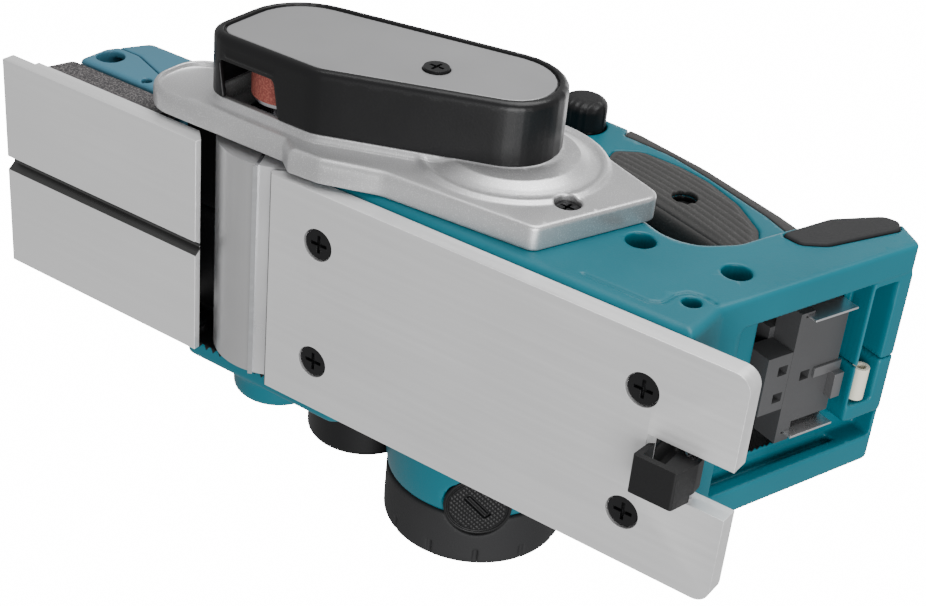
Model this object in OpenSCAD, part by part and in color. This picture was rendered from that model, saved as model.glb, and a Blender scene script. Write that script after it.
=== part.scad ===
// Cordless electric hand planer, battery not fitted.
// Row frame: sole at z = 0, origin at the middle of the rear base's sole,
// +X to the belt-cover side, +Y to the rear (battery) end, +Z up.
// Sub-parts are drawn from the mouth, the front edge of the rear base, by at_mouth().

/* [Bases] */
// Width of both bases, the planing width
base_w = 82; // [81:0.5:83]
// Length of the rear base
rear_l = 175; // [174:1:177]
// Thickness of both bases
base_t = 7; // [6.5:0.5:7]
// Open gap of the mouth between the bases
mouth_gap = 31; // [29:0.5:32]
// Length of the front base
front_l = 91.5; // [91:0.5:94]
// Width of the V groove in the front base
groove_w = 5.4; // [4:0.2:6]

/* [Cutter] */
// Radius swept by the blade tips
cut_r = 25; // [24.6:0.1:25]
// Radius of the drum body
drum_r = 23.5; // [23:0.1:23.6]
// Drum turned back from blade at bottom
drum_turn = 24; // [10:1:30]

/* [Housing] */
// Half width of the main housing
body_half = 42.5; // [42:0.5:43]
// Wall thickness of the housing shells
wall = 2.8; // [2.4:0.2:3]
// Lean of the rear battery face from vertical, in degrees
bay_lean = 21; // [20:0.5:22]
// Half width of the main handle
grip_half = 18; // [17:0.5:18]
// Slope of the handle bar, in degrees
bar_slope = 18.4; // [18:0.2:19]

/* [Drive] */
// Radius of the drum pulley
drum_pulley_r = 10; // [9:0.5:10]
// Radius of the motor pulley
motor_pulley_r = 8.5; // [7:0.5:8.5]
// Thickness of the ribbed belt
belt_t = 2; // [1.6:0.2:2]
// Ribs on the belt and grooves on the pulleys
belt_ribs = 4; // [3:1:5]

/* [Controls] */
// Outer radius of the depth knob
knob_r = 24; // [22:1:26]
// Flutes around the depth knob
knob_flutes = 24; // [16:2:30]
// Length of the trigger along the bar
trigger_l = 30; // [26:1:32]

/* [Hidden] */
$fn = 64;

arc_steps = 6;
eps = 0.01;
run_fit = 0.04;
far = 200;
half_w = base_w / 2;

// Axes, in the mouth frame: [y, z]
drum_at = [-13, 25];
motor_at = [61, 48.5];
knob_y = -85;
foot_at = [160, 4];
outlet_at = [12.4, 44.5];
lock_at = [31, 148];
trigger_y0 = -24;
grip_round = 6;
bar_half = 24;
bar_at = [90, 125.7];
brush_x = -67;
brush_lean = 34;

// Stations along X
frame_out = 51;
cover_in = 54;
cover_out = 76;
cheek_out = -49;
bulge_out = -60;
outlet_out = -76;
outlet_bore_r = 15.5;
barrel_out = -84;
motor_out = -93;
belt_x0 = 57;
belt_w = 12;

// Rear battery face: y where the leaning plane meets height z
lean = tan(bay_lean);
function bay_y(z) = 150.2 + (z - 26) * lean;

// Outlines are lists of [y, z, corner radius], counter-clockwise
function unit(v) = v / norm(v);
function pick(p) = [p.x, p.y];
function fillet(a, b, c, r) =
    let (u = unit(a - b), v = unit(c - b), half = acos(max(-1, min(1, u * v))) / 2,
         centre = b + unit(u + v) * r / sin(half),
         p = b + u * r / tan(half) - centre, q = b + v * r / tan(half) - centre,
         start = atan2(p.y, p.x), turn = (atan2(q.y, q.x) - start + 540) % 360 - 180)
    [for (i = [0 : arc_steps])
        centre + r * [cos(start + turn * i / arc_steps), sin(start + turn * i / arc_steps)]];
function rounded(pts) = let (n = len(pts))
    [for (i = [0 : n - 1])
        let (a = pick(pts[(i + n - 1) % n]), b = pick(pts[i]), c = pick(pts[(i + 1) % n]))
        each (pts[i].z > 0 ? fillet(a, b, c, pts[i].z) : [b])];
function normal_in(a, b) = let (u = unit(b - a)) [-u.y, u.x];
function inset(pts, d) = let (n = len(pts))
    [for (i = [0 : n - 1])
        let (a = pick(pts[(i + n - 1) % n]), b = pick(pts[i]), c = pick(pts[(i + 1) % n]),
             n1 = normal_in(a, b), n2 = normal_in(b, c), q = b + (n1 + n2) * d / (1 + n1 * n2),
             convex = n1 * (c - b) > 0, r = pts[i].z)
        [q.x, q.y, r == 0 ? 0 : convex ? max(r - d, 0.3) : r + d]];

COVER = [[-38.5, 10.3, 10], [8.3, 10.3, 15], [74.5, 38.4, 18], [74.5, 77.9, 22], [-38.5, 54.9, 24]];
FRAME = [[-63.5, 5.5, 14], [0.5, 6.4, 1.5], [6.5, 1.8, 1.5], [18, 2.6, 8],
    [38, 10, 12], [92.5, 14, 4], [110.5, 60.5, 5], [66, 78.5, 12], [52, 85, 14], [-34, 67, 12],
    [-42, 40, 8], [-63.5, 36, 13]];
BODY = [[-58, 8, 1], [152, 7, 2], [151.5, 26, 1], [bay_y(106), 106, 3],
    [170.5, 115, 4], [164, 115, 6], [151, 100, 6], [136.5, 66, 8], [123, 52, 16], [104, 60, 14],
    [84, 77, 12], [66, 84, 10], [20, 84, 6], [-20, 70, 12], [-58, 58, 4]];
HANDLE = [[30, 60, 2], [130, 40, 2], [168, 90, 2], [166, 114, 6], [146, 128, 14],
    [122, 138.6, 40], [84, 152.2, 60], [52, 160, 14], [28, 162, 14], [14, 150, 10], [16, 96, 16]];
FINGER_GAP = [[58, 90, 7], [84, 78, 12], [104, 61, 14], [123, 53, 15], [136, 64, 12],
    [144, 86, 9], [136, 92.5, 7], [57, 118, 8]];
FRONT = [[-109.5, 24, 2], [-58.2, 24, 1], [-58.2, 53, 1], [-101, 53, 4], [-109.5, 37, 5]];
CHEEK = [[-40, 5, 3], [26, 5, 4], [34, 12, 6], [34, 66, 10], [-20, 66, 12], [-40, 52, 10]];
PAD = [[55, 121.5, 4], [124.5, 98.5, 5], [127.5, 107, 6], [121, 120, 8], [107, 132, 20],
    [91, 140, 30], [77, 143.5, 30], [60, 144, 8], [51.5, 137, 4]];
GRIP_BACK = [[48, 151, 1], [70, 148.8, 30], [88, 143, 30], [118, 131.3, 20], [128, 126, 1],
    [141, 140, 1], [60, 172, 1], [43.5, 168, 1]];
GRIP_SEAT = [[44, 149.4], [70, 147.4], [88, 141.6], [118, 129.9], [131, 122.9], [160, 122.9],
    [160, 180], [44, 180]];
GRIP_CUT = [[48, 151, 1], [70, 148.8, 30], [88, 143, 30], [118, 131.3, 20], [128, 126, 1],
    [144.5, 143.1, 1], [60, 175, 1], [42, 170, 1]];
BUMPER = [[144, 79, 2], [152, 77.5, 4], [159, 83, 6], [172.5, 109.5, 3], [170, 115, 3],
    [164, 115, 6], [151.2, 100, 6]];

module at_mouth() { translate([0, -rear_l / 2, 0]) children(); }
module along_x(x0, x1) { translate([x0, 0, 0]) rotate([90, 0, 90]) linear_extrude(x1 - x0) children(); }
module profile_x(x0, x1, pts) { along_x(x0, x1) polygon(rounded(pts)); }
module rod_x(x0, x1, at, r) { along_x(x0, x1) translate(at) circle(r); }
module ring_x(x0, x1, at, r0, r1) {
    along_x(x0, x1) translate(at) difference() { circle(r1); circle(r0); }
}
module block(lo, hi) { translate(lo) cube(hi - lo); }
module in_bar() { translate([0, bar_at.x, bar_at.y]) rotate([-bar_slope, 0, 0]) children(); }
module in_bay(z = 0) {
    translate([0, bay_y(z), z]) rotate([-bay_lean, 0, 0]) children();
}
module turned_x(at) { translate([0, at.x, at.y]) rotate([0, 90, 0]) rotate_extrude() children(); }
module mirror_pair() { children(); mirror([1, 0, 0]) children(); }

// A pan-head screw along -Z from its head's top, with a cross recess
module pan_screw(head_r, head_h, r, l) {
    difference() {
        translate([0, 0, -head_h]) cylinder(h = head_h, r = head_r);
        for (turn = [0, 90]) rotate([0, 0, turn])
            translate([-head_r * 0.62, -head_r * 0.12, -head_h * 0.6])
                cube([head_r * 1.24, head_r * 0.24, head_h]);
    }
    translate([0, 0, -head_h - l]) cylinder(h = l + eps, r = r);
}
module screw_x(x, at, head_r, head_h, r, l) {
    translate([x, at.x, at.y]) rotate([0, 90, 0]) pan_screw(head_r, head_h, r, l);
}

// A round wire spring along Z: one swept skin with flat ends
function coil_point(i, n, turns, r, l) =
    let (a = 360 * turns * i / n) [r * cos(a), r * sin(a), l * i / n];
module coil(turns, r, l, wire_r) {
    sides = 6;
    n = turns * 14;
    rings = [for (i = [0 : n])
        let (p = coil_point(i, n, turns, r, l), a = 360 * turns * i / n)
        for (s = [0 : sides - 1])
            let (t = 360 * s / sides)
            p + wire_r * (cos(t) * [cos(a), sin(a), 0] + sin(t) * [0, 0, 1])];
    skin = [for (i = [0 : n - 1], s = [0 : sides - 1])
        let (b = i * sides, s2 = (s + 1) % sides)
        [b + s, b + sides + s, b + sides + s2, b + s2]];
    ends = [[for (s = [0 : sides - 1]) s], [for (s = [sides - 1 : -1 : 0]) n * sides + s]];
    polyhedron(points = rings, faces = concat(skin, ends), convexity = 10);
}

/* ---- Bases ---- */
base_screw_x = 22.5;
base_screw_y = [21.4, 142.3];
base_corner = 5.5;
slot_half = 8.75;
slot_y = 146.5;
head_r = 5.2;
head_h = 2.6;
screw_r = 2;
shank_fit = 0.05;
relief_r = cut_r + 1;
module at_base_screws() {
    for (x = [-base_screw_x, base_screw_x], y = base_screw_y) translate([x, y, 0]) children();
}
module drum_relief(extra = 0) { rod_x(-far, far, drum_at, relief_r + extra); }

module rear_base() at_mouth() color("silver") difference() {
    linear_extrude(base_t) {
        translate([-half_w, 0]) square([base_w, rear_l - base_corner]);
        translate([base_corner - half_w, 0]) square([base_w - 2 * base_corner, rear_l]);
        for (x = [-1, 1]) translate([x * (half_w - base_corner), rear_l - base_corner])
            circle(base_corner);
    }
    drum_relief();
    // chamfer along the mouth
    along_x(-far, far) polygon([[-1, -1], [1.3, -1], [1.3, 0], [0, 1.3], [-1, 1.3]]);
    block([-slot_half, slot_y, -1], [slot_half, rear_l + 1, base_t + 1]);
    at_base_screws() {
        translate([0, 0, -1]) cylinder(h = 4.2, r = head_r + 0.5);
        cylinder(h = base_t + 1, r = screw_r + shank_fit);
    }
    rod_x(-slot_half - 4, slot_half + 4, foot_at, 1.5 + shank_fit);
}
module rear_base_screws() at_mouth() color([0.1, 0.1, 0.11]) at_base_screws()
    translate([0, 0, 0.6]) mirror([0, 0, 1]) pan_screw(head_r, head_h, screw_r, 16);

front_y0 = -mouth_gap - front_l;
front_tip_l = 11;
knob_thread_r = 4;
bracket_half = 38;
bracket_top = 21;
bracket_y = [-113, -58];
bracket_screw_at = [for (x = [-28, 28], y = [-106, -66]) [x, y]];
module front_base() at_mouth() color("silver") difference() {
    union() {
        block([-half_w, front_y0, 0], [half_w, -mouth_gap, base_t - 1.8]);
        block([-half_w, front_y0 + front_tip_l, 0], [half_w, -mouth_gap, base_t]);
    }
    translate([0, front_y0 - 1, 0]) rotate([-90, 0, 0]) linear_extrude(front_l + 2)
        polygon([[-groove_w / 2, 0.01], [groove_w / 2, 0.01], [0.5, -3], [-0.5, -3]]);
    along_x(-far, far) polygon([[-mouth_gap + eps, 2.5], [-mouth_gap + eps, base_t + eps],
        [-mouth_gap - 4.6, base_t + eps]]);
    for (p = bracket_screw_at) translate([p.x, p.y, 2]) cylinder(h = base_t, r = screw_r + shank_fit);
}
module front_bracket() at_mouth() color([0.27, 0.25, 0.25]) difference() {
    union() {
        profile_x(-bracket_half, bracket_half, [[bracket_y[0], base_t, 0], [bracket_y[1], base_t, 0],
            [bracket_y[1], bracket_top, 3], [bracket_y[0] + 4, bracket_top, 2]]);
        translate([0, knob_y, base_t]) cylinder(h = 27, r = 9);
    }
    for (x = [-1, 1]) block([min(x * 11, x * 22), -102, base_t + 4],
        [max(x * 11, x * 22), -68, bracket_top + 1]);
    translate([0, knob_y, 0]) cylinder(h = 60, r = knob_thread_r + run_fit);
    for (p = bracket_screw_at) translate([p.x, p.y, 0]) {
        cylinder(h = 60, r = screw_r + shank_fit);
        translate([0, 0, bracket_top - 4]) cylinder(h = 10, r = 4.1);
    }
}
module bracket_screws() at_mouth() color([0.2, 0.2, 0.21])
    for (p = bracket_screw_at) translate([p.x, p.y, bracket_top - 1]) pan_screw(4, 3, screw_r, 14);

/* ---- Front housing and depth control ---- */
front_half = 38;
seam_z = 41;
seam_gap = 0.4;
fence_hole_at = [-102.7, 33.2];
fence_hole_r = 2.5;
ring_z = 53;
knob_z = 57;
knob_h = 33;
module front_block() {
    difference() {
        profile_x(-front_half, front_half, FRONT);
        profile_x(-front_half + wall, front_half - wall, inset(FRONT, wall));
        block([-front_half + wall, -106.7, 0], [front_half - wall, -61, 27]);
        translate([0, knob_y, 0]) cylinder(h = 80, r = 5.2);
    }
}
module seam_cut(side) {
    along_x(-far, far) polygon(side > 0
        ? [[-120, seam_z + seam_gap], [-96, seam_z + seam_gap], [-76, 33 + seam_gap],
            [-50, 33 + seam_gap], [-50, 90], [-120, 90]]
        : [[-120, seam_z], [-96, seam_z], [-76, 33], [-50, 33], [-50, 0], [-120, 0]]);
}
module front_housing() at_mouth() color("steelblue") difference() {
    union() {
        intersection() { front_block(); seam_cut(-1); }
        mirror_pair() intersection() {
            rod_x(front_half - 17, front_half - 1, fence_hole_at, 7);
            profile_x(0, far, FRONT);
        }
    }
    mirror_pair() {
        rod_x(front_half - 5, front_half + 1, fence_hole_at, 5.2);
        rod_x(front_half - 16, front_half, fence_hole_at, fence_hole_r);
    }
    mirror_pair() rod_x(front_half - 5, front_half + 1, [-79.5, 27.6], 2);
}
module front_top_cover() at_mouth() color("steelblue")
    intersection() { front_block(); seam_cut(1); }
module depth_scale_ring() at_mouth() color([0.12, 0.12, 0.12]) translate([0, knob_y, ring_z])
    difference() {
        cylinder(h = 3.4, r = 21);
        translate([0, 0, -1]) cylinder(h = 10, r = 5.2);
        for (i = [0 : 19]) rotate([0, 0, 18 * i]) translate([18.5, -0.35, 2.9]) cube([4, 0.7, 2]);
    }
module depth_knob() at_mouth() color([0.1, 0.1, 0.1]) translate([0, knob_y, knob_z]) difference() {
    rotate_extrude() polygon([[0, 0], [knob_r - 2, 0], [knob_r, 2], [knob_r, 20], [knob_r - 2, 27],
        [knob_r - 7, 31.5], [knob_r - 14, knob_h], [0, knob_h]]);
    for (i = [0 : knob_flutes - 1]) rotate([0, 0, 360 * i / knob_flutes])
        translate([knob_r + 1.4, 0, -1]) cylinder(h = 24, r = 2.2, $fn = 24);
    translate([0, 0, -1]) cylinder(h = 21, r = knob_thread_r);
}
module knob_screw() at_mouth() color([0.6, 0.6, 0.62]) translate([0, knob_y, 10])
    cylinder(h = knob_z + 18 - 10, r = knob_thread_r);
spring_z0 = 34.65;
module front_base_spring() at_mouth() color([0.6, 0.6, 0.62])
    translate([0, knob_y, spring_z0]) coil(4, 6.6, 12.6, 0.7);

/* ---- Left frame, cover and belt drive ---- */
bearing_r = 13;
shaft_r = 6;
motor_shaft_r = 4;
frame_screw_at = [[91, 34.8], [-24, 62.5], [38, 76.3]];
cover_screw_at = [34, 41];
belt_drum_r = drum_pulley_r + 0.3;
belt_motor_r = motor_pulley_r + 0.3;
axis_gap = norm(motor_at - drum_at);
axis_turn = atan2(motor_at.y - drum_at.y, motor_at.x - drum_at.x);
tangent_turn = acos((belt_drum_r - belt_motor_r) / axis_gap);
module belt_outline(grow) {
    steps = 18;
    polygon([for (end = [[drum_at, belt_drum_r, tangent_turn, 360 - tangent_turn],
                         [motor_at, belt_motor_r, -tangent_turn, tangent_turn]], i = [0 : steps])
        let (a = axis_turn + end[2] + (end[3] - end[2]) * i / steps)
        end[0] + (end[1] + grow) * [cos(a), sin(a)]]);
}
module left_frame() at_mouth() color([0.75, 0.75, 0.76]) difference() {
    union() {
        profile_x(body_half, frame_out, FRAME);
        profile_x(frame_out - eps, cover_in, inset(COVER, 0.4));
        translate([frame_out, motor_at.x, motor_at.y]) rotate([0, 90, 0]) rotate_extrude()
            polygon([[0, -1], [31, -1], [31, 0.9], [29.8, 0.9], [28.6, 0.3], [26, 0.7], [23, 2.2],
                [22, 3], [0, 3]]);
    }
    profile_x(48.5, far, [[-61.8, 7.5, 12], [-40.5, 7.5, 2], [-40.5, 36, 4], [-61.8, 34.5, 11.5]]);
    profile_x(frame_out - 3, far, inset(COVER, 3));
    rod_x(0, 50, drum_at, bearing_r);
    rod_x(0, far, drum_at, shaft_r + 1);
    rod_x(0, 50, motor_at, bearing_r);
    rod_x(0, far, motor_at, motor_shaft_r + 1);
    for (p = frame_screw_at) {
        rod_x(0, far, p, screw_r + shank_fit);
        rod_x(47, far, p, 4.4);
    }
}
module frame_screws() at_mouth() color([0.16, 0.16, 0.17])
    for (p = frame_screw_at) screw_x(49.6, p, 3.9, 2.5, screw_r, 12);
module belt_cover() at_mouth() color([0.12, 0.12, 0.12]) difference() {
    union() {
        profile_x(cover_in, cover_out - 1.6, COVER);
        difference() {
            profile_x(cover_out - 1.7, cover_out, inset(COVER, 0.6));
            profile_x(cover_out - 1.6, cover_out + 1, inset(COVER, 3.6));
        }
    }
    profile_x(cover_in - 1, cover_out - 4.4, inset(COVER, 2));
    profile_x(cover_in - 1, 68, [[-37, 0, 0], [-8, 0, 0], [-8, 20, 0], [-37, 20, 0]]);
    rod_x(0, far, cover_screw_at, 2.2);
}
module cover_panel() at_mouth() color([0.5, 0.5, 0.5]) difference() {
    profile_x(cover_out - 1.55, cover_out - 0.6, inset(COVER, 3.8));
    rod_x(0, far, cover_screw_at, 4.6);
}
module cover_screw() at_mouth() color([0.12, 0.12, 0.13])
    screw_x(cover_out + 0.3, cover_screw_at, 4.3, 1.8, screw_r, 26);
module belt_ring(x0, x1, g0, g1) {
    along_x(x0, x1) difference() { belt_outline(g1); belt_outline(g0); }
}
module drive_belt() at_mouth() color([0.35, 0.13, 0.1]) {
    belt_ring(belt_x0, belt_x0 + belt_w, 0.8, belt_t);
    for (i = [0 : belt_ribs - 1])
        belt_ring(belt_x0 + belt_w * i / belt_ribs + 0.5,
            belt_x0 + belt_w * (i + 1) / belt_ribs - 0.5, 0, 0.82);
}
module grooved_pulley(at, r, bore_r) {
    difference() {
        union() {
            rod_x(belt_x0 - 0.4, belt_x0 + belt_w + 0.4, at, r);
            ring_x(belt_x0 - 1.6, belt_x0 - 0.4, at, bore_r, r + 1.4);
        }
        rod_x(0, far, at, bore_r);
        for (i = [0 : belt_ribs - 1])
            ring_x(belt_x0 + belt_w * (i + 0.5) / belt_ribs - 0.5,
                belt_x0 + belt_w * (i + 0.5) / belt_ribs + 0.5, at, r - 0.7, r + 2);
    }
}
module drum_pulley() at_mouth() color("silver") grooved_pulley(drum_at, drum_pulley_r, shaft_r);
module motor_pulley() at_mouth() color("silver")
    grooved_pulley(motor_at, motor_pulley_r, motor_shaft_r);
module end_nut(at, r) {
    difference() {
        rod_x(belt_x0 + belt_w + 0.4, belt_x0 + belt_w + 2, at, r + 3, $fn = 6);
        rod_x(0, far, at, r);
    }
}
module drum_nut() at_mouth() color([0.5, 0.5, 0.5]) end_nut(drum_at, 4);
module motor_nut() at_mouth() color([0.5, 0.5, 0.5]) end_nut(motor_at, 2.5);

/* ---- Cutter drum ---- */
drum_half = 40.5;
module in_drum() {
    translate([0, drum_at.x, drum_at.y]) rotate([drum_turn, 0, 0]) children();
}
blade_bolt_x = [-27, 0, 27];
module blade_pockets() {
    for (side = [0, 180]) rotate([side, 0, 0])
        block([-drum_half - 1, -4, -cut_r - 2], [drum_half + 1, 11, -14]);
}
module cutter_drum() at_mouth() color([0.7, 0.7, 0.7]) in_drum() difference() {
    rod_x(-drum_half, drum_half, [0, 0], drum_r);
    rod_x(-far, far, [0, 0], shaft_r);
    blade_pockets();
    for (side = [0, 180], x = blade_bolt_x) rotate([side, 0, 0])
        translate([x, 6, -17]) cylinder(h = 6, r = 2.5 + shank_fit);
}
module planer_blades() at_mouth() color([0.82, 0.83, 0.85]) in_drum() for (side = [0, 180])
    rotate([side, 0, 0]) along_x(-drum_half, drum_half)
        polygon([[-4, -15], [-4, -24.2], [-4.4, -24.6], [-2.8, -24.5], [-2.8, -15]]);
module blade_holders() at_mouth() color([0.75, 0.75, 0.76]) in_drum() for (side = [0, 180])
    rotate([side, 0, 0]) difference() {
        intersection() {
            block([-drum_half, -2.8, -cut_r], [drum_half, 11, -14]);
            rod_x(-far, far, [0, 0], drum_r);
        }
        for (x = blade_bolt_x) translate([x, 6, -26]) {
            cylinder(h = 20, r = 2.5 + shank_fit);
            cylinder(h = 8, r = 4.6);
        }
    }
module blade_bolts() at_mouth() color([0.2, 0.2, 0.21]) in_drum()
    for (side = [0, 180], x = blade_bolt_x) rotate([side, 0, 0]) translate([x, 6, -21.4])
        difference() {
            union() {
                cylinder(h = 3.4, r = 4.4);
                cylinder(h = 9, r = 2.5);
            }
            translate([0, 0, -1]) cylinder(h = 3, r = 2.2, $fn = 6);
        }
module drum_shaft() at_mouth() color([0.65, 0.65, 0.66]) {
    rod_x(-56.8, belt_x0 + belt_w + 0.4, drum_at, shaft_r);
    rod_x(belt_x0 + belt_w + 0.4 - eps, belt_x0 + belt_w + 2.2, drum_at, 4);
}
module drum_bearings() at_mouth() color("silver")
    for (x = [43.2, -56]) ring_x(x, x + 6.5, drum_at, shaft_r + run_fit, bearing_r);

/* ---- Housing shells ---- */
barrel_r = 30.5;
barrel_bore = 28.4;
chamber_r = relief_r + 1.5;
chamber_half = 41.6;
boss_r = 7;
shell_screws = [[112.9, 44.5], [144.7, 48], [20, 76], [-46, 50]];
module bay_pocket() {
    // open recess of the battery face, its deep centre and the two rail grooves
    in_bay(36) block([-32, -9, 0], [32, 40, 60]);
    in_bay(52.5) block([-29, -26, 0], [29, 1, 38]);
    in_bay(91) block([-16, -13, 0], [30, 1, 10]);
    mirror_pair() in_bay(36) block([31, -8, 0], [35.5, -4, 60]);
    mirror_pair() in_bay(88) block([22, -9, 0], [32, 40, 18]);
}
module bay_ledge() {
    in_bay(90) block([-22, -9.01, 0], [32, -0.01, 17.5]);
}
module bar_section() {
    in_bar() rotate([90, 0, 0]) translate([0, 0, -76]) linear_extrude(152) {
        square([2 * grip_half, 2 * (bar_half - grip_round)], center = true);
        square([2 * (grip_half - grip_round), 2 * bar_half], center = true);
        for (x = [-1, 1], z = [-1, 1])
            translate([x * (grip_half - grip_round), z * (bar_half - grip_round)])
                circle(grip_round);
    }
}
module body_solid() {
    difference() {
        union() {
            profile_x(-body_half, body_half, BODY);
            intersection() {
                profile_x(-grip_half, grip_half, HANDLE);
                union() {
                    bar_section();
                    linear_extrude(170) {
                        translate([-grip_half, 24]) square([2 * grip_half, 26]);
                        translate([10 - grip_half, 14]) square([2 * grip_half - 20, 46]);
                        for (x = [-1, 1], y = [24, 50]) translate([x * (grip_half - 10), y]) circle(10);
                    }
                    block([-grip_half, 120, 30], [grip_half, 172, 116]);
                }
            }
        }
        profile_x(-far, far, FINGER_GAP);
    }
}
module body_cavity() {
    reach = body_half - wall;
    difference() {
        union() {
            intersection() {
                profile_x(-reach, reach, inset(BODY, wall));
                block([-far, -far, 0], [far, 118, far]);
            }
            intersection() {
                profile_x(-grip_half + wall, grip_half - wall, inset(HANDLE, wall + 0.6));
                block([-far, 10, 76], [far, 142, far]);
            }
        }
        along_x(-far, far) polygon(GRIP_SEAT);
        profile_x(-far, far, inset(FINGER_GAP, -wall));
        // wall between the drum chamber and the motor
        rod_x(-far, far, drum_at, relief_r + 5);
    }
    rod_x(-86, reach - 3, motor_at, barrel_bore);
}
module shell_common() {
    difference() {
        union() {
            difference() { body_solid(); body_cavity(); }
            for (p = shell_screws) rod_x(-body_half + 1, body_half - 1, p, boss_r);
            at_base_screws() translate([0, 0, base_t]) cylinder(h = 12, r = 4.4);
        }
        rod_x(-chamber_half, far, drum_at, chamber_r);
        block([-chamber_half, -38, -1], [far, 8, 12]);
        block([-chamber_half, -60, -1], [far, -30, 25]);
        for (p = shell_screws) rod_x(-far, far, p, screw_r + shank_fit);
        at_base_screws() cylinder(h = 22, r = screw_r + shank_fit);
        bay_pocket();
        // room for the folding foot
        block([-slot_half, slot_y, 0], [slot_half, 190, 22]);
        profile_x(-far, far, GRIP_CUT);
        mirror_pair() profile_x(grip_half - 1.2, far, PAD);
        mirror_pair() profile_x(body_half - 3, far, BUMPER);
        rod_x(-far, far, lock_at, 4.3);
        rod_x(9, far, lock_at, 9.6);
        in_bar() block([-8.6, trigger_y0 - 1, -30], [8.6, trigger_y0 + trigger_l + 1, -8]);
        rod_x(-far, far, [90, 122], screw_r + shank_fit);
        rod_x(12, far, [90, 122], 4.6);
        rod_x(-86, body_half - wall - 3, motor_at, barrel_bore - 0.01);
        rod_x(0, far, motor_at, 16);
    }
}
module left_shell() at_mouth() color([0.1, 0.5, 0.56]) difference() {
    union() {
        intersection() { shell_common(); block([0.02, -far, -far], [far, 300, 300]); }
        intersection() { bay_ledge(); block([0.02, -far, -far], [far, 300, 300]); }
    }
    in_bay(91) block([-16, -13, 0], [30, 1, 10]);
    for (p = [shell_screws[0], shell_screws[1]]) rod_x(body_half - 9, far, p, 4.8);
    for (p = frame_screw_at) rod_x(30, far, p, screw_r + shank_fit);
    rod_x(body_half - 6, far, [142.8, 22.8], 3);
}
module right_shell() at_mouth() color([0.1, 0.5, 0.56]) difference() {
    union() {
        intersection() { shell_common(); block([-far, -far, -far], [-0.02, 300, 300]); }
        intersection() { bay_ledge(); block([-far, -far, -far], [-0.02, 300, 300]); }
        profile_x(cheek_out, -body_half + eps, CHEEK);
        rod_x(bulge_out, cheek_out + eps, drum_at, 16);
        rod_x(-69, -body_half + 1, motor_at, barrel_r);
        intersection() {
            rod_x(-62, -body_half + eps, motor_at, 34);
            block([-62, motor_at.x - 26, 10], [-body_half + eps, motor_at.x + 40, 80]);
        }
        rod_x(-80, -69 + eps, motor_at, barrel_r - 1.6);
    }
    in_bay(91) block([-16, -13, 0], [30, 1, 10]);
    rod_x(-86, 0, motor_at, barrel_bore);
    rod_x(-57, 0, drum_at, bearing_r);
    rod_x(-far, -body_half + 2, outlet_at, 18.6);
    rod_x(-far, cheek_out, outlet_at, 20.9);
    brush_tunnel();
}
module in_brush() {
    translate([brush_x, motor_at.x, motor_at.y]) rotate([brush_lean, 0, 0]) children();
}
module brush_tunnel() {
    for (side = [0, 180]) in_brush() rotate([side, 0, 0]) {
        translate([0, 0, -40]) cylinder(h = 25, r = 7.2);
        translate([0, 0, -44]) cylinder(h = 14.2, r = 12.2);
    }
}
module housing_screws() at_mouth() color([0.16, 0.16, 0.17]) {
    for (p = [shell_screws[0], shell_screws[1]]) screw_x(body_half - 6, p, 3.9, 2.5, screw_r, 50);
    screw_x(15, [90, 122], 3.9, 2.5, screw_r, 24);
}

/* ---- Chip outlet, motor ---- */
module chip_outlet() at_mouth() color([0.1, 0.1, 0.1]) difference() {
    union() {
        rod_x(outlet_out, cheek_out - 0.1, outlet_at, 20.6);
        rod_x(cheek_out - 0.2, -body_half - 0.2, outlet_at, 18.4);
    }
    rod_x(outlet_out - 1, -body_half + 4, outlet_at, outlet_bore_r);
    rod_x(bulge_out - 0.3, 0, drum_at, 16.3);
    rod_x(-far, 0, motor_at, 33);
}
module motor_end_bumper() at_mouth() color([0.15, 0.15, 0.15]) difference() {
    turned_x(motor_at) polygon([[barrel_r - 1.5, -72.05], [31.8, -72.05], [32.6, -76],
        [32.6, -88], [31, -91.6], [27.5, motor_out], [23.5, motor_out], [23.5, -90], [27, -88.5],
        [27, -80.2], [barrel_r - 1.5, -80.2]]);
    brush_tunnel();
    for (turn = [20, 80, 140, 200, 260, 320]) translate([0, motor_at.x, motor_at.y])
        rotate([turn, 0, 0]) block([motor_out - 1, 31.6, -0.6], [-84, 40, 0.6]);
}
module motor_end_cap() at_mouth() color([0.12, 0.12, 0.12]) difference() {
    union() {
        ring_x(-87.8, -80.3, motor_at, 24.5, 26.9);
        rod_x(-89.8, -87, motor_at, 23.4);
        rod_x(-88, -80.3, motor_at, 12);
    }
    rod_x(-86.6, 0, motor_at, 9.5);
    for (i = [0 : 11]) translate([0, motor_at.x, motor_at.y]) rotate([30 * i, 0, 0])
        block([-91, 13.5, -1.1], [-86.9, 21.5, 1.1]);
}
module motor_shaft() at_mouth() color([0.65, 0.65, 0.66]) {
    rod_x(-85.5, belt_x0 + belt_w + 0.4, motor_at, motor_shaft_r);
    rod_x(belt_x0 + belt_w + 0.4 - eps, belt_x0 + belt_w + 2.2, motor_at, 2.5);
}
module armature() at_mouth() color([0.5, 0.36, 0.2]) difference() {
    union() {
        difference() {
            rod_x(-40, 10, motor_at, 18);
            for (i = [0 : 11]) translate([0, motor_at.x, motor_at.y]) rotate([30 * i, 0, 0])
                block([-41, 15, -0.9], [11, 20, 0.9]);
        }
        rod_x(-54, -40, motor_at, 15);
        rod_x(10, 20, motor_at, 15);
    }
    rod_x(-far, far, motor_at, motor_shaft_r);
}
module commutator() at_mouth() color([0.72, 0.45, 0.25]) difference() {
    rod_x(-76, -56, motor_at, 11);
    rod_x(-far, far, motor_at, motor_shaft_r);
    for (i = [0 : 23]) translate([0, motor_at.x, motor_at.y]) rotate([15 * i, 0, 0])
        block([-77, 10.4, -0.2], [-55, 12, 0.2]);
}
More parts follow.
